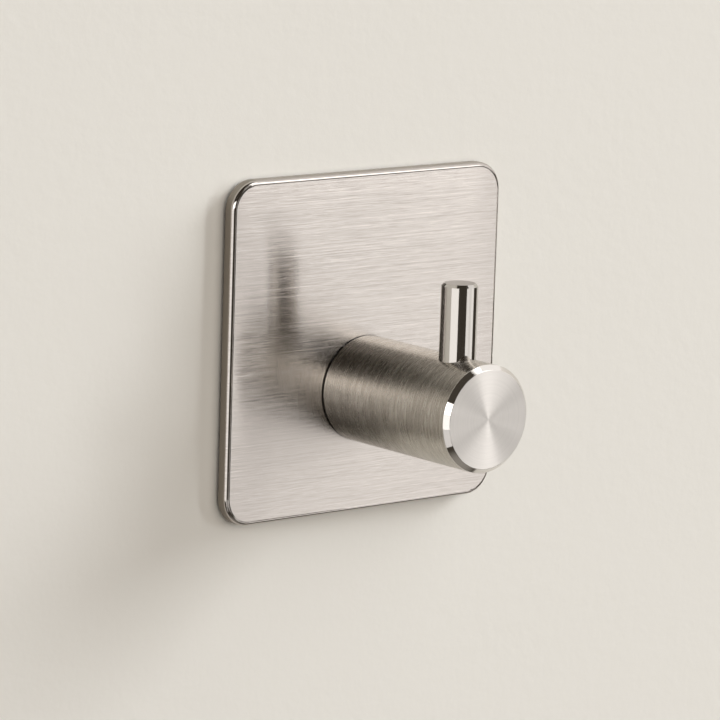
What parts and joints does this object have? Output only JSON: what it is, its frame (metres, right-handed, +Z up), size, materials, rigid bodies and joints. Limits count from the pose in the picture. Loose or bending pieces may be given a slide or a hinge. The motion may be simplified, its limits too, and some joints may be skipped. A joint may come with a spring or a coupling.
{
  "type": "adhesive hook",
  "caption": "Square brushed-steel plate that sticks to a wall, with a round post standing out of it and an upright pin on the post for hanging towels or robes.",
  "frame": {"origin": "centre of the adhesive pad's wall side", "axes": "+Y into the wall, along the post's axis; the post stands out along -Y; +Z up"},
  "size_m": [0.05, 0.03, 0.05],
  "materials": {
    "plate_steel": "stainless steel, brushed across, with a polished rounded edge",
    "post_steel": "stainless steel, brushed round the barrel, turned end face and bright chamfer",
    "pin_steel": "stainless steel, bright polished",
    "screw_steel": "plain stainless steel",
    "pad_foam": "matt acrylic foam tape"
  },
  "bodies": {
    "root": {"back_plate": "plate_steel", "adhesive_pad": "pad_foam", "post": "post_steel", "pin": "pin_steel", "back_screw": "screw_steel"}
  },
  "joints": []
}
